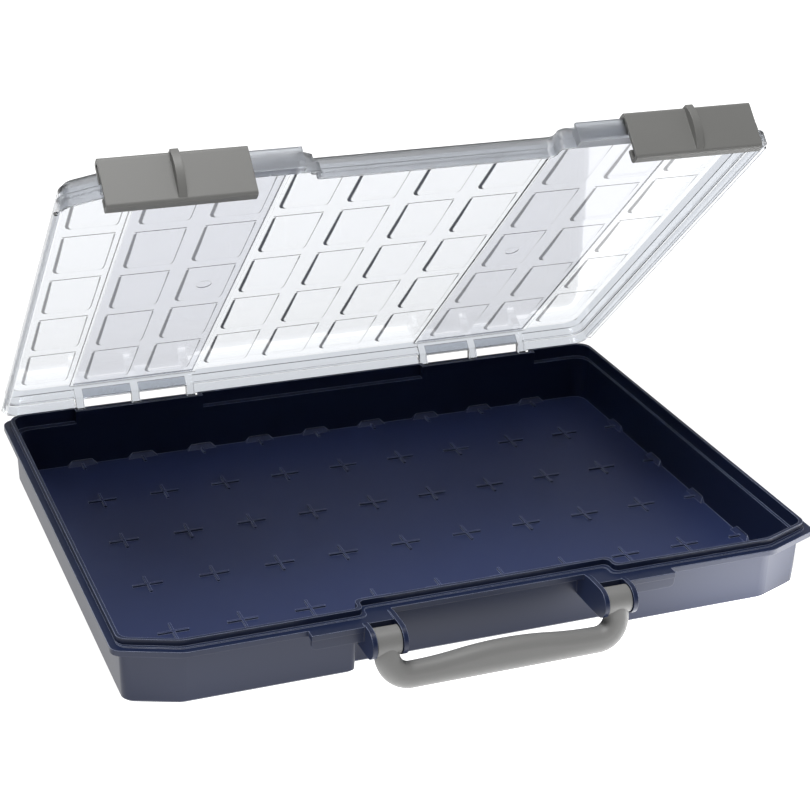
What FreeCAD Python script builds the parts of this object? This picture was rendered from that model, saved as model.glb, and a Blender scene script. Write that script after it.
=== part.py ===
"""Flat assortment case: a dark tray, a clear hinged lid with two sliding latches, and a carrying handle.

The frame has its origin at the centre of the tray's underside, +X to the right, +Z up and the handle at -Y.
The lid and its latches are drawn closed and then turned about the hinge to the angle at which they rest.
"""
import FreeCAD, Part
import math
import os

os.makedirs("parts", exist_ok=True)

Vector = FreeCAD.Vector
X_AXIS = Vector(1, 0, 0)
Z_AXIS = Vector(0, 0, 1)

# Compartment grid on the tray floor
columns = 10
rows = 5
column_pitch = 39.5
row_pitch = 56.0

# Tray walls
floor_thickness = 2.5
wall = 2.2
wall_lean = 0.8
pocket_depth = 9.0
inlet_half = 78.2
knee_setback = 26.0
knee_slope_share = 0.4
rear_radius = 9.0
side_radius = 7.0
knee_radius = 14.0
inlet_radius = 3.5
underside_chamfer = 1.4

# Tray rim: a ledge inside, a tongue that the lid drops over, a flange outside and a bead along its front
ledge_height = 28.6
ledge_side = 1.8
ledge_rear = 4.4
ledge_front = 2.2
ledge_flare = 5.0
tongue = 1.9
tongue_rise = 4.2
flange_side = 4.0
flange_rear = 3.4
flange_front = 5.6
flange_thickness = 3.2
flange_step = 4.2
bead_width = 1.9
bead_rise = 0.6

# Locating crosses on the floor, and the taller feet that they have against a wall
cross_arm = 8.8
cross_rib = 1.4
cross_height = 1.2
foot_half = 9.6
foot_height = 3.2
foot_depth = 2.6

# Hinge at the back
hinge_setback = 11.2
hinge_height = 32.5
barrel_radius = 4.2
pin_radius = 1.75
pin_clearance = 0.05
arm_width = 5.0
arm_web = 3.4
hinge_plate_gap = 0.6
hinge_gap = 0.5
niche_wall = 2.2

# Lid
lid_open_angle = 44.0
lid_gap = 0.4
lid_rear_gap = 1.8
lid_front_gap = 4.0
front_rise = 1.6
parting_gap = 0.6
skirt = 1.6
lid_lip_height = 2.2
head_room = 47.5
lid_plate = 2.0
stripe_drop = 1.2
stripe_wall = 2.0
shoulder_rise = 3.5
shoulder_set = 2.0
top_bevel = 3.0
window_inset = 5.0
window_front_inset = 2.5
window_rear_inset = 8.3
window_front_depth = 0.2
window_rear_depth = 1.8
window_draft_share = 1.2
gate_radius = 4.5
gate_depth = 0.4

# Latch rail on the lid and keepers on the tray
rail_wall = 2.4
rail_height = 12.0
rail_web = 2.4
rail_end_gap = 1.3
keeper_length = 29.0
keeper_height = 9.0
keeper_step = 0.8
keeper_radius = 3.0
nub_offset = 20.0
nub_width = 3.0
nub_height = 4.0
nub_rise = 5.3

# Latches
latch_length = 78.2
latch_wall = 2.1
latch_hook = 2.2
latch_gap = 0.4
latch_back_gap = 0.6
latch_rest_gap = 1.5
latch_travel = 26.0
latch_radius = 2.0
grip_rib_width = 4.4
grip_rib_rise = 5.0
grip_end_rise = 2.4

# Handle and its brackets
ear_inner_face = 56.7
ear_wall = 2.7
ear_skin = 0.9
ear_radius = 8.4
ear_shoulder = 5.5
ear_rim_gap = 1.0
ear_reach = 19.1
pivot_height = 27.8
bracket_plate_reach = 11.5
knuckle_width = 13.6
knuckle_play = 0.45
knuckle_radius = 7.6
trunnion_radius = 3.2
trunnion_clearance = 0.08
trunnion_end_gap = 0.4
arm_radius = 6.7
arm_flat = 0.4
arm_straight = 7.4
bend_radius = 12.5
bar_extra = 1.0
grip_swell = 3.2
handle_angle = 15.0

# One overrun serves all cuts, and a share of it tells whether two lengths are the same
overrun = 1.0
same_share = 0.001

# Places worked out from the sizes above
floor_half_width = columns * column_pitch / 2
floor_half_depth = rows * row_pitch / 2
knee_x = floor_half_width - knee_setback
ledge_z = floor_thickness + ledge_height
flange_top = ledge_z + flange_step
flange_bottom = flange_top - flange_thickness
tongue_top = flange_top + tongue_rise
lid_bottom = flange_top + parting_gap
lid_inside = floor_thickness + head_room
lid_top = lid_inside + lid_plate
shoulder_z = tongue_top + shoulder_rise
same_length = overrun * same_share

# How far each face of the rim and the skirt lies outside the floor's edge: at the sides, rear and front
INNER_FLOOR = (0, 0, 0)
INNER_LEDGE = (wall_lean, wall_lean, wall_lean)
OUTER_FOOT = (wall, wall, wall)
OUTER_LEDGE = (wall + wall_lean, wall + wall_lean, wall + wall_lean)
INNER_RIM = (wall_lean + ledge_side, wall_lean + ledge_rear, wall_lean + ledge_front)
TONGUE = tuple(out + tongue for out in INNER_RIM)
BEAD = (TONGUE[0], TONGUE[1], TONGUE[2] + bead_width)
FLANGE = (TONGUE[0] + flange_side, TONGUE[1] + flange_rear, TONGUE[2] + flange_front)
SKIRT_INSIDE = (TONGUE[0] + lid_gap, TONGUE[1] + lid_rear_gap, TONGUE[2] + lid_front_gap)
SKIRT = tuple(out + skirt for out in SKIRT_INSIDE)
CROWN_INSIDE = tuple(out - shoulder_set for out in SKIRT_INSIDE)
CROWN = tuple(out - shoulder_set for out in SKIRT)

rear_inside = floor_half_depth + INNER_LEDGE[1]
recess_edge = -floor_half_depth
front_edge = recess_edge - pocket_depth
front_skirt = front_edge - SKIRT[2]
recess_skirt = recess_edge - SKIRT[2]
recess_flange = recess_edge - FLANGE[2]
hinge_y = rear_inside + hinge_setback
hinge_point = Vector(0, hinge_y, hinge_height)
hinge_zone = (2 * column_pitch, 4 * column_pitch)

rail_back = front_skirt - latch_back_gap - latch_hook - latch_gap
rail_front = rail_back - rail_wall
rail_bottom = lid_bottom + front_rise
rail_top = rail_bottom + rail_height
hook_back = rail_back + latch_gap + latch_hook
ear_outer_face = ear_inner_face + 2 * ear_wall + 2 * knuckle_play + knuckle_width
keeper_end = ear_outer_face + keeper_length
keeper_bottom = flange_top - keeper_height
latch_inner_end = keeper_end + latch_rest_gap
latch_outer_end = latch_inner_end + latch_length
rail_start = ear_outer_face + rail_end_gap
nub_x = latch_inner_end + nub_offset
nub_z = rail_bottom + nub_rise
rail_end = latch_outer_end - rail_end_gap

pivot_y = recess_flange - ear_reach
pivot = Vector(0, pivot_y, pivot_height)
knuckle_middle = ear_inner_face + ear_wall + knuckle_play + knuckle_width / 2


def box(x_span, y_span, z_span):
    """A block between two limits on each axis, given in either order."""
    low = [min(span) for span in (x_span, y_span, z_span)]
    size = [abs(span[1] - span[0]) for span in (x_span, y_span, z_span)]
    return Part.makeBox(size[0], size[1], size[2], Vector(low[0], low[1], low[2]))


def both_sides(shape):
    """The shape and its mirror image in the plane of symmetry."""
    return [shape, shape.mirror(Vector(0, 0, 0), X_AXIS)]


def fuse(base, pieces):
    """One clean solid of the base and everything moulded with it."""
    return base.multiFuse(pieces).removeSplitter()


def rounded_wire(corners, z):
    """A closed outline through corners (x, y, radius) with a tangent arc at each."""
    count = len(corners)
    starts, middles, ends = [], [], []
    for index in range(count):
        x, y, radius = corners[index]
        here = Vector(x, y, z)
        before = Vector(corners[index - 1][0], corners[index - 1][1], z) - here
        after = Vector(corners[(index + 1) % count][0], corners[(index + 1) % count][1], z) - here
        before.normalize()
        after.normalize()
        half = before.getAngle(after) / 2
        bisector = (before + after).normalize()
        cut_back = radius / math.tan(half)
        starts.append(here + before * cut_back)
        ends.append(here + after * cut_back)
        middles.append(here + bisector * (radius / math.sin(half) - radius))
    edges = []
    for index in range(count):
        edges.append(Part.Arc(starts[index], middles[index], ends[index]).toShape())
        edges.append(Part.LineSegment(ends[index], starts[(index + 1) % count]).toShape())
    return Part.Wire(edges)


def plan(grow, z):
    """The case's outline seen from above, with the handle's inlet, grown from the floor's edge."""
    at_sides, at_rear, at_front = grow
    side = floor_half_width + at_sides
    rear = floor_half_depth + at_rear
    front = front_edge - at_front
    recess = recess_edge - at_front
    inlet = inlet_half - at_front
    corner_y = front + knee_slope_share * (side - knee_x)
    right = [
        (side, rear, rear_radius),
        (side, corner_y, side_radius),
        (knee_x, front, knee_radius),
        (inlet, front, inlet_radius),
        (inlet, recess, inlet_radius),
    ]
    left = [(-x, y, radius) for x, y, radius in reversed(right)]
    return rounded_wire(right + left, z)


def leaning(low, z_low, high, z_high):
    """A solid whose walls lean from one outline to another."""
    return Part.makeLoft([plan(low, z_low), plan(high, z_high)], True, True)


def upright(grow, z_low, z_high):
    """A solid with upright walls on one outline."""
    return Part.Face(plan(grow, z_low)).extrude(Vector(0, 0, z_high - z_low))


def profile_along_x(points, x_low, x_high):
    """A profile in the Y-Z plane carried along X."""
    corners = [Vector(x_low, y, z) for y, z in points]
    face = Part.Face(Part.makePolygon(corners + corners[:1]))
    return face.extrude(Vector(x_high - x_low, 0, 0))


def rod(radius, x_low, x_high, y, z):
    """A round bar along X."""
    return Part.makeCylinder(radius, x_high - x_low, Vector(x_low, y, z), X_AXIS)


def tapered(low, high):
    """A solid with flat sides between two outlines of as many corners."""
    outlines = [low, high]
    for index in range(len(low)):
        outlines.append([low[index - 1], low[index], high[index], high[index - 1]])
    sides = [Part.Face(Part.makePolygon(corners + corners[:1])) for corners in outlines]
    return Part.Solid(Part.Shell(sides))


def hinge_arm_spans():
    """Where the lid's hinge arms stand along X on the right half: at the hinge's ends and middle."""
    start, end = hinge_zone
    first = start + hinge_gap
    last = end - hinge_gap - arm_width
    return [(x, x + arm_width) for x in (first, (first + last) / 2, last)]


def floor_cross(x, y):
    """A cross where the corners of four compartments meet."""
    half = cross_rib / 2
    z_span = (floor_thickness - cross_height, floor_thickness + cross_height)
    along = box((x - cross_arm, x + cross_arm), (y - half, y + half), z_span)
    return along.fuse(box((x - half, x + half), (y - cross_arm, y + cross_arm), z_span))


def wall_cross(x, y, turn):
    """Half a cross on a taller foot against a wall; with no turn the wall is behind it."""
    half = cross_rib / 2
    root = floor_thickness - cross_height
    stem = box((-half, half), (-cross_arm, wall_lean), (root, floor_thickness + cross_height))
    root_depth = foot_depth * (foot_height + cross_height) / foot_height
    low = foot_outline(foot_half + cross_height, root_depth, root)
    high = foot_outline(foot_half - foot_height, 0, floor_thickness + foot_height)
    shape = stem.fuse(tapered(low, high))
    shape.rotate(Vector(0, 0, 0), Z_AXIS, turn)
    shape.translate(Vector(x, y, 0))
    return shape


def foot_outline(half, depth, z):
    """A foot's corners at one height, reaching into the wall behind it."""
    corners = [(-half, -depth), (half, -depth), (half, wall_lean), (-half, wall_lean)]
    return [Vector(x, y, z) for x, y in corners]


def tray_crosses():
    """Crosses at the compartments' corners, and half crosses where these meet the walls."""
    pieces = []
    for column in range(1, columns):
        x = column * column_pitch - floor_half_width
        in_inlet = abs(x) < inlet_half + cross_arm
        for row in range(1 if in_inlet else 0, rows):
            pieces.append(floor_cross(x, row * row_pitch - floor_half_depth))
        pieces.append(wall_cross(x, floor_half_depth, 0))
        if abs(x) < inlet_half - foot_half:
            pieces.append(wall_cross(x, recess_edge, 180))
    for row in range(1, rows):
        pieces += both_sides(wall_cross(floor_half_width, row * row_pitch - floor_half_depth, -90))
    return pieces


def tray_hinge_niche():
    """What is cut away behind the rear wall for one hinge, and the walls and barrels that go back in."""
    start, end = hinge_zone
    wall_back = rear_inside + niche_wall
    behind = hinge_y + barrel_radius + overrun
    cut = box((start, end), (wall_back, behind), (flange_bottom - barrel_radius * 2, tongue_top + overrun))
    seat = ledge_z - wall
    screen = box((start - niche_wall, end + niche_wall), (rear_inside, wall_back), (seat, tongue_top))
    rear_flange = floor_half_depth + FLANGE[1]
    cheeks = [
        box((x, x + niche_wall), (rear_inside, floor_half_depth + TONGUE[1]), (seat, tongue_top))
        for x in (start - niche_wall, end)
    ]
    shelves = [
        box((x, x + niche_wall), (rear_inside, rear_flange), (flange_bottom, flange_top))
        for x in (start - niche_wall, end)
    ]
    web_root = floor_half_depth + (wall + wall_lean) / 2
    web_profile = [
        (web_root, hinge_height + barrel_radius / 2),
        (hinge_y, hinge_height + barrel_radius / 2),
        (hinge_y, hinge_height - barrel_radius),
        (web_root, hinge_height - barrel_radius * 3),
    ]
    barrels = []
    arms = hinge_arm_spans()
    for before, after in zip(arms, arms[1:]):
        low, high = before[1] + hinge_gap, after[0] - hinge_gap
        barrel = rod(barrel_radius, low, high, hinge_y, hinge_height)
        barrel = barrel.fuse(profile_along_x(web_profile, low, high))
        barrels.append(barrel.cut(rod(pin_radius + pin_clearance, low, high, hinge_y, hinge_height)))
    return cut, [screen] + cheeks + shelves + barrels


def keeper():
    """A shelf in line with the rim, with a hanging edge that the latch grips from behind."""
    shelf = box(
        (ear_outer_face - ear_wall, keeper_end),
        (recess_flange, rail_front),
        (flange_bottom, flange_top),
    )
    edge = box(
        (ear_outer_face - ear_wall, keeper_end),
        (rail_back, rail_front + keeper_step),
        (keeper_bottom, flange_top),
    )
    corner = [e for e in edge.Edges if is_along_y(e) and is_low_outer_end(e)]
    return [shelf, edge.makeFillet(keeper_radius, corner)]


def is_low_outer_end(edge):
    """True at the lower outer corner of the keeper's hanging edge."""
    place = edge.CenterOfMass
    return abs(place.x - keeper_end) < same_length and abs(place.z - keeper_bottom) < same_length


def is_along_y(edge):
    """True for a straight edge that runs front to back."""
    ends = [vertex.Point for vertex in edge.Vertexes]
    return len(ends) == 2 and abs(abs(ends[1].y - ends[0].y) - edge.Length) < same_length


def ear(x_low, edge_y):
    """One rounded cheek of the handle's bracket, with a shoulder that rises in front of the lid's skirt."""
    rim_y = edge_y - SKIRT[2]
    tongue_y = edge_y - TONGUE[2]
    bottom = pivot_height - ear_radius
    top = pivot_height + ear_radius
    wall_y = recess_edge - wall_lean - wall / 2
    middle = flange_bottom + flange_thickness / 2
    start = Vector(x_low, wall_y, bottom)
    nose_low = Vector(x_low, pivot_y, bottom)
    nose = Vector(x_low, pivot_y - ear_radius, pivot_height)
    nose_high = Vector(x_low, pivot_y, top)
    back = [
        nose_high,
        Vector(x_low, rim_y - ear_shoulder, top),
        Vector(x_low, rim_y - ear_rim_gap, flange_top),
        Vector(x_low, tongue_y, flange_top),
        Vector(x_low, tongue_y, middle),
        Vector(x_low, wall_y, flange_bottom),
        start,
        nose_low,
    ]
    edges = [Part.Arc(nose_low, nose, nose_high).toShape()] + list(Part.makePolygon(back).Edges)
    return Part.Face(Part.Wire(edges)).extrude(Vector(ear_wall, 0, 0))


def bracket():
    """Both cheeks of one handle bracket and the plate that ties them to the rim."""
    plate = box(
        (ear_inner_face, ear_outer_face - ear_wall),
        (recess_edge - TONGUE[2], recess_flange - bracket_plate_reach),
        (flange_bottom, flange_top),
    )
    return [ear(ear_inner_face, recess_edge), ear(ear_outer_face - ear_wall, front_edge), plate]


def make_tray():
    """The moulded tray: floor, leaning walls, rim, crosses, hinge barrels, keepers and brackets."""
    underside = tuple(out - underside_chamfer for out in OUTER_FOOT)
    solid = leaning(underside, 0, OUTER_FOOT, underside_chamfer).multiFuse(
        [
            leaning(OUTER_FOOT, underside_chamfer, OUTER_LEDGE, flange_bottom),
            leaning(OUTER_FOOT, ledge_z - ledge_flare, TONGUE, flange_bottom),
            upright(FLANGE, flange_bottom, flange_top),
            upright(BEAD, flange_bottom, flange_top + bead_rise),
            upright(TONGUE, flange_bottom, tongue_top),
        ]
    )
    cavity = leaning(INNER_FLOOR, floor_thickness, INNER_LEDGE, ledge_z)
    opening = upright(INNER_RIM, ledge_z, tongue_top + overrun)
    solid = solid.cut(cavity.fuse(opening))
    niche, niche_pieces = tray_hinge_niche()
    solid = solid.cut(both_sides(niche))
    fittings = []
    for piece in niche_pieces + keeper() + bracket():
        fittings += both_sides(piece)
    solid = fuse(solid, fittings + tray_crosses())
    near, far = ear_inner_face + ear_skin, ear_outer_face - ear_skin
    bore = rod(trunnion_radius + trunnion_clearance, near, far, pivot_y, pivot_height)
    return solid.cut(both_sides(bore))


def lid_windows():
    """Pads inside the lid, one over each compartment, that start flush in front and deepen to the rear."""
    pads = []
    for column in range(columns):
        left = column * column_pitch - floor_half_width
        drop = stripe_drop if is_striped(left + column_pitch / 2) else 0
        sides = (left + window_inset, left + column_pitch - window_inset)
        for row in range(rows):
            front = row * row_pitch - floor_half_depth + window_front_inset
            rear = (row + 1) * row_pitch - floor_half_depth - window_rear_inset
            pads.append(window_pad(sides, (front, rear), lid_inside - drop))
    return pads


def window_pad(x_span, y_span, z):
    """One pad with flat sloping sides, from its root inside the plate to its tilted face."""
    root = pad_corners(x_span, y_span, z, -lid_plate / 2, -lid_plate / 2)
    face = pad_corners(x_span, y_span, z, window_front_depth, window_rear_depth)
    return tapered(root, face)


def pad_corners(x_span, y_span, z, front_depth, rear_depth):
    """A pad's corners at one depth in front and another at the rear, drawn in by its draft as it deepens."""
    left, right = [(x_span[0], 1), (x_span[1], -1)]
    front, rear = [(y_span[0], 1, front_depth), (y_span[1], -1, rear_depth)]
    corners = []
    for (x, to_right), (y, to_rear, depth) in ((left, front), (right, front), (right, rear), (left, rear)):
        draft = depth * window_draft_share
        corners.append(Vector(x + to_right * draft, y + to_rear * draft, z - depth))
    return corners


def is_striped(x):
    """True where the lid steps down, over the second and third column from each side."""
    return hinge_zone[0] < abs(x) < hinge_zone[1]


def lid_hinge_arms():
    """An upright plate for each hinge, with arms behind it that end in eyes on the hinge pin."""
    crown_out = floor_half_depth + CROWN[1]
    plate_front = crown_out - arm_web
    root = lid_inside - stripe_drop + lid_plate / 2
    plate_low = tongue_top + hinge_plate_gap
    start, end = hinge_zone
    plate = box((start + hinge_gap, end - hinge_gap), (plate_front, plate_front + skirt), (plate_low, root))
    arms = both_sides(plate)
    for low, high in hinge_arm_spans():
        blade = profile_along_x(
            [
                (plate_front, root),
                (crown_out - skirt / 2, root),
                (crown_out - skirt / 2, shoulder_z),
                (hinge_y + barrel_radius, hinge_height),
                (hinge_y - barrel_radius, hinge_height),
                (plate_front, plate_low),
            ],
            low,
            high,
        )
        eye = rod(barrel_radius, low, high, hinge_y, hinge_height)
        bore = rod(pin_radius + pin_clearance, low, high, hinge_y, hinge_height)
        arms += both_sides(blade.fuse(eye).cut(bore))
    return arms


def rail_block(x_low, x_high, z_high):
    """A block from inside the lid's front skirt, which turns back at the knee, out to the rail's front."""
    root_low, root_high = [
        front_skirt + skirt / 2 + knee_slope_share * max(x - knee_x, 0) for x in (x_low, x_high)
    ]
    corners = [(x_low, root_low), (x_high, root_high), (x_high, rail_front), (x_low, rail_front)]
    outline = Part.makePolygon([Vector(x, y, rail_bottom) for x, y in corners + corners[:1]])
    return Part.Face(outline).extrude(Vector(0, 0, z_high - rail_bottom))


def lid_rail():
    """An up-turned flange before the lid, with a stop at its inner end and a nub in the latch's slot."""
    web_top = rail_bottom + rail_web
    blocks = [
        rail_block(rail_start, knee_x, web_top),
        rail_block(knee_x, rail_end, web_top),
        rail_block(rail_start, latch_inner_end - latch_travel - latch_gap, rail_top - rail_web),
        box((rail_start, rail_end), (rail_back, rail_front), (rail_bottom, rail_top)),
        box((nub_x, nub_x + nub_width), (rail_front, hook_back), (nub_z, nub_z + nub_height)),
    ]
    pieces = []
    for block in blocks:
        pieces += both_sides(block)
    return pieces


def make_lid():
    """The clear lid: stepped plate, two-tier skirt, lip, window pads, hinge arms and latch rails."""
    bevel_top = tuple(grow - top_bevel for grow in CROWN)
    bevel_inside = tuple(grow - top_bevel for grow in CROWN_INSIDE)
    inner_shoulder = shoulder_z - skirt
    side = floor_half_width + FLANGE[0]
    lip_front = front_edge - FLANGE[2] + knee_slope_share * (side - knee_x) + side_radius
    lip_rear = floor_half_depth + FLANGE[1] - rear_radius
    lip = box(
        (floor_half_width + SKIRT[0] - skirt, side),
        (lip_front, lip_rear),
        (lid_bottom, lid_bottom + lid_lip_height),
    )
    shell = upright(SKIRT, lid_bottom, shoulder_z).multiFuse(
        [
            upright(CROWN, inner_shoulder, lid_top - top_bevel),
            leaning(CROWN, lid_top - top_bevel, bevel_top, lid_top),
        ]
        + both_sides(lip)
    )
    hollow = upright(SKIRT_INSIDE, lid_bottom - overrun, inner_shoulder).multiFuse(
        [
            upright(CROWN_INSIDE, inner_shoulder, lid_inside - top_bevel),
            leaning(CROWN_INSIDE, lid_inside - top_bevel, bevel_inside, lid_inside),
        ]
    )
    start, end = hinge_zone
    stripe_rear = floor_half_depth + CROWN_INSIDE[1]
    stripe_front = front_edge - CROWN_INSIDE[2]
    slab = box(
        (start - stripe_wall, end + stripe_wall),
        (stripe_front, stripe_rear),
        (lid_inside - stripe_drop, lid_inside + lid_plate / 2),
    )
    channel = box(
        (start, end),
        (stripe_front + top_bevel, stripe_rear - top_bevel),
        (lid_top - stripe_drop, lid_top + overrun),
    )
    hinge_cut = box(
        (start, end),
        (floor_half_depth + CROWN[1], hinge_y + barrel_radius),
        (lid_bottom - overrun, shoulder_z + overrun),
    )
    front_cut = box(
        (-knee_x, knee_x),
        (front_skirt - overrun, recess_skirt + skirt + overrun),
        (lid_bottom - overrun, rail_bottom),
    )
    plate = shell.cut(hollow).multiFuse(both_sides(slab))
    plate = plate.cut(both_sides(channel) + both_sides(hinge_cut) + [front_cut])
    lid = fuse(plate, lid_windows() + lid_hinge_arms() + lid_rail())
    gate_x = (start + start + column_pitch) / 2
    gate = Part.makeCylinder(gate_radius, gate_depth, Vector(gate_x, 0, lid_top - stripe_drop - gate_depth))
    return lid.cut(both_sides(gate))


def make_latch(side):
    """A C-shaped clip that slides on the lid's rail; side is 1 on the right and -1 on the left."""
    top = rail_top + latch_gap + latch_wall
    bottom = keeper_bottom - latch_gap - latch_wall
    face = rail_front - latch_gap - latch_wall
    inner = rail_front - latch_gap
    hook_front = rail_back + latch_gap
    upper_hook_low = rail_bottom + rail_web + latch_back_gap
    lower_hook_high = flange_bottom - latch_back_gap
    outline = [
        (face, bottom),
        (face, top),
        (hook_back, top),
        (hook_back, upper_hook_low),
        (hook_front, upper_hook_low),
        (hook_front, top - latch_wall),
        (inner, top - latch_wall),
        (inner, bottom + latch_wall),
        (hook_front, bottom + latch_wall),
        (hook_front, lower_hook_high),
        (hook_back, lower_hook_high),
        (hook_back, bottom),
    ]
    clip = profile_along_x(outline, latch_inner_end, latch_outer_end)
    clip = clip.makeFillet(latch_radius, [e for e in clip.Edges if is_outer_long_edge(e, top, bottom)])
    middle = (latch_inner_end + latch_outer_end) / 2
    slot = box(
        (nub_x - latch_gap, nub_x + nub_width + latch_travel + latch_gap),
        (hook_front, hook_back + overrun),
        (nub_z - latch_gap, nub_z + nub_height + latch_gap),
    )
    clip = clip.cut(slot).fuse(grip_rib(middle, face, top, bottom)).removeSplitter()
    if side < 0:
        clip = clip.mirror(Vector(0, 0, 0), X_AXIS)
    return clip


def is_outer_long_edge(edge, top, bottom):
    """True for the clip's four long outside edges."""
    bounds = edge.BoundBox
    level = bounds.ZMax - bounds.ZMin < same_length
    at_top = abs(bounds.ZMin - top) < same_length
    at_bottom = abs(bounds.ZMin - bottom) < same_length
    return level and (at_top or at_bottom) and abs(edge.Length - latch_length) < same_length


def grip_rib(middle, face, top, bottom):
    """The bowed upright fin that the thumb pushes, flush at the bottom and proud at the top."""
    x = middle - grip_rib_width / 2
    low = bottom + latch_radius
    lower = Vector(x, face, low)
    summit = Vector(x, face - grip_rib_rise, (low + top) / 2)
    upper = Vector(x, face - grip_end_rise, top)
    crest = Part.Arc(lower, summit, upper).toShape()
    upper_root = Vector(x, face + latch_radius, top)
    lower_root = Vector(x, face + latch_wall / 2, low)
    rest = Part.makePolygon([upper, upper_root, lower_root, lower])
    return Part.Face(Part.Wire([crest] + list(rest.Edges))).extrude(Vector(grip_rib_width, 0, 0))


def quarter(x, z, radius, side):
    """The lower quarter of a circle, from its outermost point on one side down to its lowest point."""
    diagonal = radius * math.cos(math.pi / 4)
    outer = Vector(x + side * radius, pivot_y - arm_radius, z)
    middle = Vector(x + side * diagonal, pivot_y - arm_radius, z - diagonal)
    lowest = Vector(x, pivot_y - arm_radius, z - radius)
    return Part.Arc(outer, middle, lowest).toShape()


def swell_arcs(bar_half, z):
    """The bar's upper edge: two S-curves of tangent arcs that meet in the middle of the grip."""
    y = pivot_y - arm_radius
    run, rise = bar_half / 2, grip_swell / 2
    radius = (run * run + rise * rise) / (2 * rise)
    half_turn = math.atan2(rise, run)
    sideways, sag = radius * math.sin(half_turn), radius * (1 - math.cos(half_turn))
    arcs = []
    for side in (-1, 1):
        foot = Vector(side * bar_half, y, z)
        turn = Vector(side * run, y, z + rise)
        crown = Vector(0, y, z + grip_swell)
        low_middle = Vector(side * (bar_half - sideways), y, z + sag)
        high_middle = Vector(side * sideways, y, z + grip_swell - sag)
        arcs.append(Part.Arc(foot, low_middle, turn).toShape())
        arcs.append(Part.Arc(turn, high_middle, crown).toShape())
    return arcs


def bow():
    """The bow hanging straight down: its outline from the front carried through its depth, and rounded."""
    y = pivot_y - arm_radius
    bar_half = knuckle_middle - bend_radius
    bend_z = pivot_height - arm_straight
    inner_z = bend_z - bend_radius + arm_radius
    outer_z = bend_z - bar_extra
    outer_radius = bend_radius + arm_radius
    inner_radius = bend_radius - arm_radius
    edges = swell_arcs(bar_half, inner_z)
    bottom = outer_z - outer_radius
    edges.append(Part.makeLine(Vector(-bar_half, y, bottom), Vector(bar_half, y, bottom)))
    for side in (-1, 1):
        edges.append(quarter(side * bar_half, outer_z, outer_radius, side))
        edges.append(quarter(side * bar_half, bend_z, inner_radius, side))
        outer_x = side * (knuckle_middle + arm_radius)
        inner_x = side * (knuckle_middle - arm_radius)
        corners = [(outer_x, outer_z), (outer_x, pivot_height), (inner_x, pivot_height), (inner_x, bend_z)]
        edges += Part.makePolygon([Vector(x, y, z) for x, z in corners]).Edges
    outline = Part.Wire(Part.__sortEdges__(edges))
    solid = Part.Face(outline).extrude(Vector(0, 2 * arm_radius, 0))
    return solid.makeFillet(arm_radius - arm_flat, [e for e in solid.Edges if is_bow_edge(e)])


def is_bow_edge(edge):
    """True for the edges round the bow's front and back, but not across the tops of its arms."""
    bounds = edge.BoundBox
    flat = bounds.YMax - bounds.YMin < same_length
    return flat and bounds.ZMin < pivot_height - same_length


def make_handle():
    """A bow handle hanging straight down from its trunnions, then swung forward to its rest."""
    half_knuckle = knuckle_width / 2
    near, far = knuckle_middle - half_knuckle, knuckle_middle + half_knuckle
    knuckle = rod(knuckle_radius, near, far, pivot_y, pivot_height)
    pin_reach = half_knuckle + knuckle_play + ear_wall - ear_skin - trunnion_end_gap
    near, far = knuckle_middle - pin_reach, knuckle_middle + pin_reach
    trunnion = rod(trunnion_radius, near, far, pivot_y, pivot_height)
    handle = fuse(bow(), both_sides(knuckle) + both_sides(trunnion))
    handle.rotate(pivot, X_AXIS, -handle_angle)
    return handle


def make_hinge_pin(side):
    """A plain steel pin through one hinge; side is 1 on the right and -1 on the left."""
    start, end = hinge_zone
    pin = rod(pin_radius, start + hinge_gap, end - hinge_gap, hinge_y, hinge_height)
    if side < 0:
        pin = pin.mirror(Vector(0, 0, 0), X_AXIS)
    return pin


def opened(shape):
    """The closed lid, or a piece on it, turned to the angle at which the lid rests."""
    shape.rotate(hinge_point, X_AXIS, -lid_open_angle)
    return shape


parts = {
    "tray": make_tray(),
    "lid": opened(make_lid()),
    "latch_left": opened(make_latch(-1)),
    "latch_right": opened(make_latch(1)),
    "handle": make_handle(),
    "hinge_pin_left": make_hinge_pin(-1),
    "hinge_pin_right": make_hinge_pin(1),
}

for name, shape in parts.items():
    print(name, "solids", len(shape.Solids), "valid", shape.isValid(), "cm3", round(shape.Volume / 1000, 2))
    shape.exportStep("parts/" + name + ".step")
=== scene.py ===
# %% [markdown]
# # A flat assortment case with a clear lid
#
# The case is a dark moulded tray, a clear lid on two rear hinges, two grey latches that slide on the
# lid's front rail, and a grey handle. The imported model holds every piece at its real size, so this file
# only gives the pieces their finish, a floor, light and a camera.

import bpy
import numpy as np
from mathutils import Matrix, Vector

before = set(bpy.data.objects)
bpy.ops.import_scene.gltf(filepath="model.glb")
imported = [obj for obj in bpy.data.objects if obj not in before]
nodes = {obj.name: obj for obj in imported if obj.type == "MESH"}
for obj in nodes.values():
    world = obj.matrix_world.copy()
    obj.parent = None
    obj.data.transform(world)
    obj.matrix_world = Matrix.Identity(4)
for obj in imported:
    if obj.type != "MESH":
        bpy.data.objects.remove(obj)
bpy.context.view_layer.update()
print("nodes:", sorted(nodes))

# %% [markdown]
# ## Two small tools for materials
#
# Colours are easiest to read as the hex values of a colour picker, but shaders want linear light, so one
# function converts them. A second one adds a shader node, sets its inputs and links it up, which keeps
# each material short enough to read as a recipe.

# %% Colour and node helpers
MM = 0.001
MATH = "ShaderNodeMath"
VECTOR_MATH = "ShaderNodeVectorMath"


def linear(hex_code):
    """The linear colour of an sRGB hex value: a straight foot near black, then a power of 2.4."""
    channels = np.array([int(hex_code[i:i + 2], 16) for i in (1, 3, 5)]) / 255
    foot = channels / 12.92
    curve = ((channels + 0.055) / 1.055) ** 2.4
    return (*np.where(channels <= 0.04045, foot, curve), 1.0)


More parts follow.
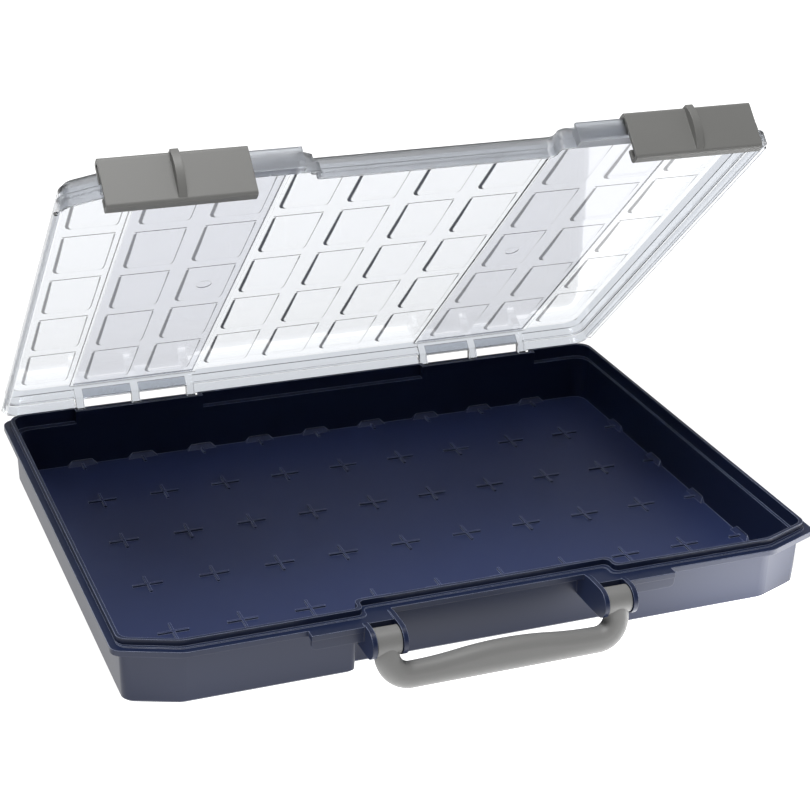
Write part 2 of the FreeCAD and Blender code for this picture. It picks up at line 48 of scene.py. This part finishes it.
def add(material, kind, settings=None, **inputs):
    """Adds a node, sets its properties, and sets or links its inputs; a socket as value makes a link."""
    tree = material.node_tree
    node = tree.nodes.new(kind)
    for name, value in (settings or {}).items():
        setattr(node, name, value)
    for name, value in inputs.items():
        socket = node.inputs[int(name[1:])] if name[1:].isdigit() else node.inputs[name.replace("_", " ")]
        if isinstance(value, bpy.types.NodeSocket):
            tree.links.new(value, socket)
        else:
            socket.default_value = value
    return node


def new_material(name):
    """An empty node material, with its shader, output and Object coordinates ready."""
    material = bpy.data.materials.new(name)
    material.use_nodes = True
    material.node_tree.nodes.clear()
    shader = add(material, "ShaderNodeBsdfPrincipled")
    add(material, "ShaderNodeOutputMaterial", Surface=shader.outputs["BSDF"])
    place = add(material, "ShaderNodeTexCoord").outputs["Object"]
    return material, shader, place


# %% [markdown]
# ## Moulded polypropylene, dark navy
#
# The tray is injection-moulded polypropylene. Its walls and rim come from a smoother mould than the
# floor, which is spark-eroded to a dull, paler grain, so colour and roughness change just above the
# floor crosses. The colour also drifts a little where the melt flowed. The real grain is about 0.1 mm,
# too fine to show, so it is drawn at 0.9 mm. A bevel node rounds the moulded edges, and where it turns
# the surface upwards the edge is painted paler: a painted highlight of the overhead lamp on the edge.

# %% Navy polypropylene
GRAIN_MM = 0.9
GRAIN_STRENGTH = 0.35
FLOW_MM = 60.0
EDGE_MM = 0.5
EDGE_RAYS = 8
# Where the bevel turns an edge upwards, a painted highlight is laid on it.
EDGE_TURN_SHARES = (0.98, 0.8)
HIGHLIGHT_LIFT_SHARES = (0.1, 0.6)
DULL_BELOW_MM = 5.0
UP_SHARE = 0.5
PLASTIC_IOR = 1.49
PLASTIC_SPECULAR_LEVEL = 0.4


def moulded_plastic(name, dark, light, low, edge_highlight, roughness, grain_height_mm, dull_floor=0.0):
    """A moulded plastic: drifting colour, patchy sheen, fine grain, painted highlights on upturned edges and
    a duller tray floor.
    """
    material, shader, place = new_material(name)
    flow = add(material, "ShaderNodeTexNoise", Vector=place, Scale=1 / (FLOW_MM * MM), Detail=3.0)
    tint = add(
        material, "ShaderNodeMix", {"data_type": "RGBA"},
        _0=flow.outputs["Fac"], _6=linear(dark), _7=linear(light),
    )
    soft_edge = add(material, "ShaderNodeBevel", {"samples": EDGE_RAYS}, Radius=EDGE_MM * MM)
    face = add(material, "ShaderNodeNewGeometry").outputs["True Normal"]
    turn = add(
        material, VECTOR_MATH, {"operation": "DOT_PRODUCT"},
        _0=soft_edge.outputs["Normal"], _1=face,
    )
    at_edge = add(
        material, "ShaderNodeMapRange",
        Value=turn.outputs["Value"], From_Min=EDGE_TURN_SHARES[0], From_Max=EDGE_TURN_SHARES[1],
    )
    lift = add(material, "ShaderNodeSeparateXYZ", Vector=soft_edge.outputs["Normal"]).outputs["Z"]
    upwards = add(
        material, "ShaderNodeMapRange",
        Value=lift, From_Min=HIGHLIGHT_LIFT_SHARES[0], From_Max=HIGHLIGHT_LIFT_SHARES[1],
    )
    # Painted highlight: rounded edges that turn upwards are made paler, standing in for the overhead lamp
    # catching them.
    painted_edge_highlight = add(
        material, MATH, {"operation": "MULTIPLY"},
        _0=at_edge.outputs["Result"], _1=upwards.outputs["Result"],
    )
    height = add(material, "ShaderNodeSeparateXYZ", Vector=place).outputs["Z"]
    is_low = add(material, MATH, {"operation": "LESS_THAN"}, _0=height, _1=DULL_BELOW_MM * MM)
    own_normal = add(material, "ShaderNodeTexCoord").outputs["Normal"]
    face_up = add(material, "ShaderNodeSeparateXYZ", Vector=own_normal).outputs["Z"]
    is_up = add(material, MATH, {"operation": "GREATER_THAN"}, _0=face_up, _1=UP_SHARE)
    low_down = add(
        material, MATH, {"operation": "MULTIPLY"},
        _0=is_low.outputs["Value"], _1=is_up.outputs["Value"],
    )
    level = add(
        material, "ShaderNodeMix", {"data_type": "RGBA"},
        _0=low_down.outputs["Value"], _6=tint.outputs["Result"], _7=linear(low),
    )
    # The painted highlight colour is mixed in on the upturned edges.
    colour = add(
        material, "ShaderNodeMix", {"data_type": "RGBA"},
        _0=painted_edge_highlight.outputs["Value"], _6=level.outputs["Result"], _7=linear(edge_highlight),
    )
    patches = add(
        material, "ShaderNodeMapRange",
        Value=flow.outputs["Fac"], To_Min=roughness[0], To_Max=roughness[1],
    )
    dullness = add(
        material, MATH, {"operation": "MULTIPLY_ADD"},
        _0=low_down.outputs["Value"], _1=dull_floor, _2=patches.outputs["Result"],
    )
    grain = add(material, "ShaderNodeTexNoise", Vector=place, Scale=1 / (GRAIN_MM * MM), Detail=2.0)
    bump = add(
        material, "ShaderNodeBump",
        Height=grain.outputs["Fac"], Strength=GRAIN_STRENGTH, Distance=grain_height_mm * MM,
        Normal=soft_edge.outputs["Normal"],
    )
    tree = material.node_tree
    tree.links.new(colour.outputs["Result"], shader.inputs["Base Color"])
    tree.links.new(dullness.outputs["Value"], shader.inputs["Roughness"])
    tree.links.new(bump.outputs["Normal"], shader.inputs["Normal"])
    shader.inputs["IOR"].default_value = PLASTIC_IOR
    shader.inputs["Specular IOR Level"].default_value = PLASTIC_SPECULAR_LEVEL
    return material


NAVY_ROUGHNESS = (0.30, 0.38)
NAVY_GRAIN_MM = 0.03
FLOOR_EXTRA_ROUGHNESS = 0.12

# The fourth colour is the painted edge highlight.
navy_plastic = moulded_plastic(
    "navy_polypropylene_moulded", "#161f3a", "#1b2644", "#28335a", "#a9b3cf",
    NAVY_ROUGHNESS, NAVY_GRAIN_MM, FLOOR_EXTRA_ROUGHNESS,
)
print("made", navy_plastic.name)

# %% [markdown]
# ## Grey plastic of the latches and the handle
#
# Latches and handle are a tougher, paler plastic with the same kind of mould grain, a little coarser and
# duller.

# %% Grey plastic
GREY_ROUGHNESS = (0.38, 0.5)
GREY_GRAIN_MM = 0.08

# The fourth colour of each is the painted edge highlight.
grey_plastic = moulded_plastic(
    "grey_abs_moulded", "#6a6a68", "#737371", "#737371", "#878683", GREY_ROUGHNESS, GREY_GRAIN_MM,
)
handle_plastic = moulded_plastic(
    "grey_handle_moulded", "#747473", "#7e7e7d", "#7e7e7d", "#8c8c8b", GREY_ROUGHNESS, GREY_GRAIN_MM,
)
print("made", grey_plastic.name, "and", handle_plastic.name)

# %% [markdown]
# ## Clear polycarbonate
#
# The lid is polished clear polycarbonate, which bends light by 1.585. What draws it in the photograph is
# not its flat faces but the rounded borders of the window pads, which throw the light aside and look
# dark: broader at the rear and on the left, fine on the right, and none in front. So the material lays
# the lid flat in its own coordinates, repeats one cell of the pad grid over it, takes the border as the
# space between two rounded boxes, and paints it nearly black as painted shade for that dark look. The
# columns that step down and the upright walls are painted a little greyer, also as painted shade, and
# the front rail and lip are frosted. Faces along the plate shade as truly flat, a bevel node rounds
# the other edges, and a slow waviness moves the reflections. A face that is seen from within the plastic
# reports its normal turned round, so that is undone before the inner side of the lid is told from the
# outer one, and the painted borders stay the same from every side.

# %% Clear polycarbonate
LID_TILT = np.radians(44.0)
HINGE_M = np.array([0.0, 0.152, 0.0325])
CELL_M = np.array([0.0395, 0.056])
COLUMNS, ROWS = 10, 5
PAD_INSET_MM = 5.0
PAD_FRONT_INSET_MM = 2.5
PAD_REAR_INSET_MM = 8.3
PAD_CORNER_MM = 3.0
# Widths of the painted shade along the pad borders.
BORDER_LEFT_MM = 1.5
BORDER_RIGHT_MM = 1.0
BORDER_REAR_MM = 2.2
BORDER_SOFT_MM = 0.3
OUTER_SHADE_SHARE = 0.9
STRIPE_COLUMNS = (2, 4)
STRIPE_REACH_M = 1.0
FROST_FROM_M = 0.295
FROST_ROUGHNESS = 0.4
FLAT_SHARE = 0.995
FLANK_SHARE = 0.6
LID_EDGE_MM = 0.5
LID_EDGE_RAYS = 6
WAVE_MM = 45.0
WAVE_HEIGHT_MM = 0.05
WAVE_STRENGTH = 0.3
HAZE_MM = 12.0
POLISH_ROUGHNESS = (0.02, 0.08)
CLEAR_IOR = 1.585

clear_plastic, clear_shader, clear_place = new_material("clear_polycarbonate_polished")


def rounded_box(place, low, high, corner):
    """1 inside a box with rounded corners, given by two corners in the sheet, and 0 outside.

    The distance past the box that is smaller by the corner's radius is compared with that radius.
    """
    low, high = np.array(low), np.array(high)
    middle = (*((low + high) / 2), 0.0)
    half = (*((high - low) / 2 - corner), 0.0)
    offset = add(clear_plastic, VECTOR_MATH, {"operation": "SUBTRACT"}, _0=place, _1=middle)
    mirrored = add(clear_plastic, VECTOR_MATH, {"operation": "ABSOLUTE"}, _0=offset.outputs["Vector"])
    beyond = add(
        clear_plastic, VECTOR_MATH, {"operation": "SUBTRACT"}, _0=mirrored.outputs["Vector"], _1=half,
    )
    outside = add(
        clear_plastic, VECTOR_MATH, {"operation": "MAXIMUM"},
        _0=beyond.outputs["Vector"], _1=(0.0, 0.0, 0.0),
    )
    distance = add(clear_plastic, VECTOR_MATH, {"operation": "LENGTH"}, _0=outside.outputs["Vector"])
    edge = BORDER_SOFT_MM * MM
    return add(
        clear_plastic, "ShaderNodeMapRange",
        Value=distance.outputs["Value"], From_Min=corner + edge, From_Max=corner - edge,
    ).outputs["Result"]


plate_normal = (0.0, np.sin(LID_TILT), np.cos(LID_TILT))
to_front = np.array([0.0, -np.cos(LID_TILT), np.sin(LID_TILT)])
forwards = add(clear_plastic, VECTOR_MATH, {"operation": "DOT_PRODUCT"}, _0=clear_place, _1=tuple(to_front))
reach = add(
    clear_plastic, MATH, {"operation": "SUBTRACT"}, _0=forwards.outputs["Value"], _1=to_front @ HINGE_M,
).outputs["Value"]
across = add(clear_plastic, "ShaderNodeSeparateXYZ", Vector=clear_place).outputs["X"]
depth = add(clear_plastic, MATH, {"operation": "SUBTRACT"}, _0=HINGE_M[1], _1=reach).outputs["Value"]
sheet = add(clear_plastic, "ShaderNodeCombineXYZ", X=across, Y=depth).outputs["Vector"]

cell = add(
    clear_plastic, VECTOR_MATH, {"operation": "WRAP"},
    _0=sheet, _1=(CELL_M[0], CELL_M[1] / 2, 1.0), _2=(0.0, -CELL_M[1] / 2, -1.0),
).outputs["Vector"]
pad_low = np.array([PAD_INSET_MM * MM, PAD_FRONT_INSET_MM * MM - CELL_M[1] / 2])
pad_high = np.array([CELL_M[0] - PAD_INSET_MM * MM, CELL_M[1] / 2 - PAD_REAR_INSET_MM * MM])
clear_low = pad_low + np.array([BORDER_LEFT_MM, -2 * PAD_CORNER_MM]) * MM
clear_high = pad_high - np.array([BORDER_RIGHT_MM, BORDER_REAR_MM]) * MM
grid_half = CELL_M * (COLUMNS, ROWS) / 2
in_grid = rounded_box(sheet, -grid_half, grid_half, PAD_CORNER_MM * MM)
border = add(
    clear_plastic, MATH, {"operation": "SUBTRACT"},
    _0=rounded_box(cell, pad_low, pad_high, PAD_CORNER_MM * MM),
    _1=rounded_box(cell, clear_low, clear_high, PAD_CORNER_MM * MM),
)
inner_stripe, outer_stripe = (
    rounded_box(
        sheet, (-count * CELL_M[0], -STRIPE_REACH_M), (count * CELL_M[0], STRIPE_REACH_M),
        PAD_CORNER_MM * MM,
    )
    for count in STRIPE_COLUMNS
)
striped = add(clear_plastic, MATH, {"operation": "SUBTRACT"}, _0=outer_stripe, _1=inner_stripe)

face_normal = add(clear_plastic, "ShaderNodeTexCoord").outputs["Normal"]
along = add(
    clear_plastic, VECTOR_MATH, {"operation": "DOT_PRODUCT"}, _0=face_normal, _1=plate_normal,
).outputs["Value"]
seen_from_within = add(clear_plastic, "ShaderNodeNewGeometry").outputs["Backfacing"]
outward = add(clear_plastic, MATH, {"operation": "MULTIPLY_ADD"}, _0=seen_from_within, _1=-2.0, _2=1.0)
turned_out = add(clear_plastic, MATH, {"operation": "MULTIPLY"}, _0=along, _1=outward.outputs["Value"])
is_inside = add(
    clear_plastic, MATH, {"operation": "LESS_THAN"}, _0=turned_out.outputs["Value"], _1=-FLANK_SHARE,
)
flat_limit = add(
    clear_plastic, MATH, {"operation": "MULTIPLY_ADD"},
    _0=in_grid, _1=FLANK_SHARE - FLAT_SHARE, _2=FLAT_SHARE,
)
along_either = add(clear_plastic, MATH, {"operation": "ABSOLUTE"}, _0=along)
is_flat = add(
    clear_plastic, MATH, {"operation": "GREATER_THAN"},
    _0=along_either.outputs["Value"], _1=flat_limit.outputs["Value"],
).outputs["Value"]
outer_shade_weight = add(
    clear_plastic, MATH, {"operation": "MULTIPLY_ADD"},
    _0=inner_stripe, _1=1 - OUTER_SHADE_SHARE, _2=OUTER_SHADE_SHARE,
)
on_pads = add(clear_plastic, MATH, {"operation": "MULTIPLY"}, _0=in_grid, _1=is_inside.outputs["Value"])
border_only = add(clear_plastic, MATH, {"operation": "MAXIMUM"}, _0=border.outputs["Value"], _1=0.0)
# Painted shade: the border band on the inner face of the pads, in place of the light their rounded borders
# bend aside.
drawn = add(
    clear_plastic, MATH, {"operation": "MULTIPLY"},
    _0=border_only.outputs["Value"], _1=on_pads.outputs["Value"],
)
line = add(
    clear_plastic, MATH, {"operation": "MULTIPLY"}, _0=drawn.outputs["Value"], _1=outer_shade_weight.outputs["Value"],
)

# Painted shade: the columns that step down are painted greyer than the rest of the clear plate.
plain = add(
    clear_plastic, "ShaderNodeMix", {"data_type": "RGBA"},
    _0=striped.outputs["Value"], _6=linear("#f4f6f9"), _7=linear("#dfe1e7"),
)
# Painted shade: faces that are not flat to the plate, such as the upright walls, are painted grey.
faces = add(
    clear_plastic, "ShaderNodeMix", {"data_type": "RGBA"},
    _0=is_flat, _6=linear("#cdd1d7"), _7=plain.outputs["Result"],
)
# The painted shade of the pad borders is mixed in nearly black.
colour = add(
    clear_plastic, "ShaderNodeMix", {"data_type": "RGBA"},
    _0=line.outputs["Value"], _6=faces.outputs["Result"], _7=linear("#121316"),
)

plate_world = add(
    clear_plastic, "ShaderNodeVectorTransform",
    {"vector_type": "NORMAL", "convert_from": "OBJECT", "convert_to": "WORLD"}, Vector=plate_normal,
)
facing = add(clear_plastic, MATH, {"operation": "SIGN"}, _0=along)
true_flat = add(
    clear_plastic, VECTOR_MATH, {"operation": "SCALE"},
    _0=plate_world.outputs["Vector"], Scale=facing.outputs["Value"],
)
round_edge = add(clear_plastic, "ShaderNodeBevel", {"samples": LID_EDGE_RAYS}, Radius=LID_EDGE_MM * MM)
lid_normal = add(
    clear_plastic, "ShaderNodeMix", {"data_type": "VECTOR"},
    _0=is_flat, _4=round_edge.outputs["Normal"], _5=true_flat.outputs["Vector"],
)
wave = add(clear_plastic, "ShaderNodeTexNoise", Vector=clear_place, Scale=1 / (WAVE_MM * MM), Detail=1.0)
clear_bump = add(
    clear_plastic, "ShaderNodeBump",
    Height=wave.outputs["Fac"], Strength=WAVE_STRENGTH, Distance=WAVE_HEIGHT_MM * MM,
    Normal=lid_normal.outputs[1],
)
haze = add(clear_plastic, "ShaderNodeTexNoise", Vector=clear_place, Scale=1 / (HAZE_MM * MM), Detail=4.0)
polish = add(
    clear_plastic, "ShaderNodeMapRange",
    Value=haze.outputs["Fac"], To_Min=POLISH_ROUGHNESS[0], To_Max=POLISH_ROUGHNESS[1],
)
frosted = add(clear_plastic, MATH, {"operation": "GREATER_THAN"}, _0=reach, _1=FROST_FROM_M)
frost = add(
    clear_plastic, MATH, {"operation": "MULTIPLY_ADD"},
    _0=frosted.outputs["Value"], _1=FROST_ROUGHNESS, _2=polish.outputs["Result"],
)
clear_plastic.node_tree.links.new(frost.outputs["Value"], clear_shader.inputs["Roughness"])
clear_plastic.node_tree.links.new(clear_bump.outputs["Normal"], clear_shader.inputs["Normal"])
clear_plastic.node_tree.links.new(colour.outputs["Result"], clear_shader.inputs["Base Color"])
clear_shader.inputs["IOR"].default_value = CLEAR_IOR
clear_shader.inputs["Transmission Weight"].default_value = 1.0
print("made", clear_plastic.name)

# %% [markdown]
# ## Drawn steel
#
# The hinge pins are drawn wire: bright steel with fine lines along its length.

# %% Drawn steel
LINE_MM = 0.4
LINE_LENGTH_MM = 20.0
PIN_ROUGHNESS = (0.22, 0.42)

pin_steel, pin_shader, pin_place = new_material("drawn_steel_wire")
stretch = add(pin_steel, "ShaderNodeMapping", Vector=pin_place, Scale=(LINE_MM / LINE_LENGTH_MM, 1, 1))
lines = add(
    pin_steel, "ShaderNodeTexNoise",
    Vector=stretch.outputs["Vector"], Scale=1 / (LINE_MM * MM), Detail=2.0,
)
sheen = add(
    pin_steel, "ShaderNodeMapRange",
    Value=lines.outputs["Fac"], To_Min=PIN_ROUGHNESS[0], To_Max=PIN_ROUGHNESS[1],
)
pin_steel.node_tree.links.new(sheen.outputs["Result"], pin_shader.inputs["Roughness"])
pin_shader.inputs["Base Color"].default_value = linear("#c4c3c0")
pin_shader.inputs["Metallic"].default_value = 1.0
print("made", pin_steel.name)

# %% [markdown]
# ## Finishes onto the pieces
#
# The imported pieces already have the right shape, so each only trades its plain material for the finished
# one.

# %% Assign finishes
FINISHES = {
    "tray": navy_plastic,
    "lid": clear_plastic,
    "latch_left": grey_plastic,
    "latch_right": grey_plastic,
    "handle": handle_plastic,
    "hinge_pin_left": pin_steel,
    "hinge_pin_right": pin_steel,
}
for name, finish in FINISHES.items():
    nodes[name].data.materials.clear()
    nodes[name].data.materials.append(finish)
print("finished", len(FINISHES), "nodes")

# %% [markdown]
# ## Floor
#
# Product photographs of this kind stand on a light table: a white sheet lit from below, so that it shows
# no shadow and burns out to pure white. Its light is also what brightens the outer walls towards the
# bottom, while the walls inside the tray, which see only dark plastic, stay nearly black. The table is
# brighter behind, where it shines through the lid, and brightest in a strip along the front wall, most
# of all on the right.

# %% Floor
FLOOR_HALF_M = 20.0
FLOOR_DROP_M = 0.0003
FLOOR_TICKS = 9
TABLE_BESIDE = 1.02
TABLE_REAR = 1.3
REAR_FROM_M, REAR_TO_M = 0.2, 0.35
STRIP_Y_M = -0.19
STRIP_NEAR_M, STRIP_FAR_M = 0.01, 0.07
TABLE_FRONT_EXTRA = 1.2
TABLE_RIGHT_EXTRA = 6.5
RIGHT_FROM_M, RIGHT_TO_M = 0.02, 0.22
TABLE_ROUGHNESS = 0.7


def grid_surface(name, across, along, height):
    """A mesh on a grid of two parameters: x from the first, y from the second, z from the given heights."""
    u, v = np.meshgrid(across, along, indexing="ij")
    points = np.stack([u, v, np.broadcast_to(height, u.shape)], axis=-1).reshape(-1, 3)
    rows, columns = u.shape
    index = np.arange(rows * columns).reshape(rows, columns)
    corners = [index[:-1, :-1], index[1:, :-1], index[1:, 1:], index[:-1, 1:]]
    quads = np.stack(corners, axis=-1).reshape(-1, 4)
    mesh = bpy.data.meshes.new(name)
    mesh.from_pydata(points.tolist(), [], quads.tolist())
    piece = bpy.data.objects.new(name, mesh)
    bpy.context.scene.collection.objects.link(piece)
    return piece


floor_ticks = np.linspace(-FLOOR_HALF_M, FLOOR_HALF_M, FLOOR_TICKS)
floor = grid_surface("floor", floor_ticks, floor_ticks, -FLOOR_DROP_M)
light_table, table_shader, table_place = new_material("light_table_acrylic")
sides = add(light_table, "ShaderNodeSeparateXYZ", Vector=table_place)
behind = add(
    light_table, "ShaderNodeMapRange", {"interpolation_type": "SMOOTHSTEP"},
    Value=sides.outputs["Y"], From_Min=REAR_FROM_M, From_Max=REAR_TO_M,
    To_Min=TABLE_BESIDE, To_Max=TABLE_REAR,
)
from_strip = add(
    light_table, MATH, {"operation": "SUBTRACT"}, _0=sides.outputs["Y"], _1=STRIP_Y_M,
)
off_strip = add(light_table, MATH, {"operation": "ABSOLUTE"}, _0=from_strip.outputs["Value"])
in_front = add(
    light_table, "ShaderNodeMapRange", {"interpolation_type": "SMOOTHSTEP"},
    Value=off_strip.outputs["Value"], From_Min=STRIP_NEAR_M, From_Max=STRIP_FAR_M, To_Min=1.0, To_Max=0.0,
)
extra = add(
    light_table, "ShaderNodeMapRange", {"interpolation_type": "SMOOTHSTEP"},
    Value=sides.outputs["X"], From_Min=RIGHT_FROM_M, From_Max=RIGHT_TO_M,
    To_Min=TABLE_FRONT_EXTRA, To_Max=TABLE_RIGHT_EXTRA,
)
glow = add(
    light_table, MATH, {"operation": "MULTIPLY_ADD"},
    _0=extra.outputs["Result"], _1=in_front.outputs["Result"], _2=behind.outputs["Result"],
)
light_table.node_tree.links.new(glow.outputs["Value"], table_shader.inputs["Emission Strength"])
table_shader.inputs["Emission Color"].default_value = linear("#ffffff")
table_shader.inputs["Base Color"].default_value = linear("#303030")
table_shader.inputs["Roughness"].default_value = TABLE_ROUGHNESS
floor.data.materials.append(light_table)
print("floor at", -FLOOR_DROP_M, "m")

# %% [markdown]
# ## Light
#
# Apart from the table there is one large soft lamp overhead, which lights the tray floor, the rim and
# the latches. The studio around is dim in front and brighter behind on the right, so that the rear and
# right walls of the tray shade their inner faces and the floor beside them.

# %% World and lamps
BRIGHT_SIDE = (0.35, 0.9, 0.25)
STUDIO_DIM = 0.03
STUDIO_BRIGHT = 0.42
LAMP_PLACE_M = (-0.2, -0.22, 1.55)
LAMP_TARGET_M = (-0.05, -0.05, 0.0)
LAMP_SIZE_M = 0.8
LAMP_POWER_W = 23.0

world = bpy.data.worlds.new("dim_studio")
bpy.context.scene.world = world
world.use_nodes = True
backdrop = world.node_tree.nodes["Background"]
backdrop.inputs["Color"].default_value = linear("#ffffff")
direction = add(world, "ShaderNodeTexCoord").outputs["Generated"]
towards = add(world, VECTOR_MATH, {"operation": "DOT_PRODUCT"}, _0=direction, _1=BRIGHT_SIDE)
studio = add(
    world, "ShaderNodeMapRange",
    Value=towards.outputs["Value"], From_Min=-1.0, From_Max=1.0, To_Min=STUDIO_DIM, To_Max=STUDIO_BRIGHT,
)
world.node_tree.links.new(studio.outputs["Result"], backdrop.inputs["Strength"])


def lamp(name, place, target, width, power):
    """A square soft lamp at a place, turned to face a target."""
    light = bpy.data.lights.new(name, "AREA")
    light.size = width
    light.energy = power
    holder = bpy.data.objects.new(name, light)
    direction = Vector(target) - Vector(place)
    holder.matrix_world = Matrix.Translation(place) @ direction.to_track_quat("-Z", "Y").to_matrix().to_4x4()
    bpy.context.scene.collection.objects.link(holder)
    return holder


lamp("overhead", LAMP_PLACE_M, LAMP_TARGET_M, LAMP_SIZE_M, LAMP_POWER_W)
bpy.context.scene.view_settings.view_transform = "Standard"

# %% [markdown]
# ## Camera
#
# The floor crosses form a regular grid, so the photograph's camera can be solved from them: its bearing,
# height, roll, distance and lens. The camera looks at a target on the tray floor, and the image is
# square.

# %% Camera
VIEW_AZIMUTH = np.radians(-21.763)
VIEW_ELEVATION = np.radians(23.901)
VIEW_ROLL = np.radians(1.434)
VIEW_DISTANCE_M = 1.36562
VIEW_TARGET_M = np.array([0.073405, 0.16251, 0.0025])
LENS_MM = 87.61
SENSOR_MM = 36.0


def camera_matrix(azimuth, elevation, roll, distance, target):
    """Stands off from the target along the bearing, level at first, then rolls about the line of sight."""
    back = np.array(
        [np.sin(azimuth) * np.cos(elevation), -np.cos(azimuth) * np.cos(elevation), np.sin(elevation)]
    )
    right = np.array([np.cos(azimuth), np.sin(azimuth), 0.0])
    up = np.cross(back, right)
    rolled_right = right * np.cos(roll) + up * np.sin(roll)
    rolled_up = up * np.cos(roll) - right * np.sin(roll)
    matrix = np.eye(4)
    matrix[:3, :3] = np.stack([rolled_right, rolled_up, back], axis=1)
    matrix[:3, 3] = target + back * distance
    return Matrix(matrix.tolist())


camera_data = bpy.data.cameras.new("photo_camera")
camera_data.lens = LENS_MM
camera_data.sensor_width = SENSOR_MM
camera = bpy.data.objects.new("photo_camera", camera_data)
bpy.context.scene.collection.objects.link(camera)
camera.matrix_world = camera_matrix(VIEW_AZIMUTH, VIEW_ELEVATION, VIEW_ROLL, VIEW_DISTANCE_M, VIEW_TARGET_M)
bpy.context.scene.camera = camera
print("camera at", [round(c, 4) for c in camera.matrix_world.translation])
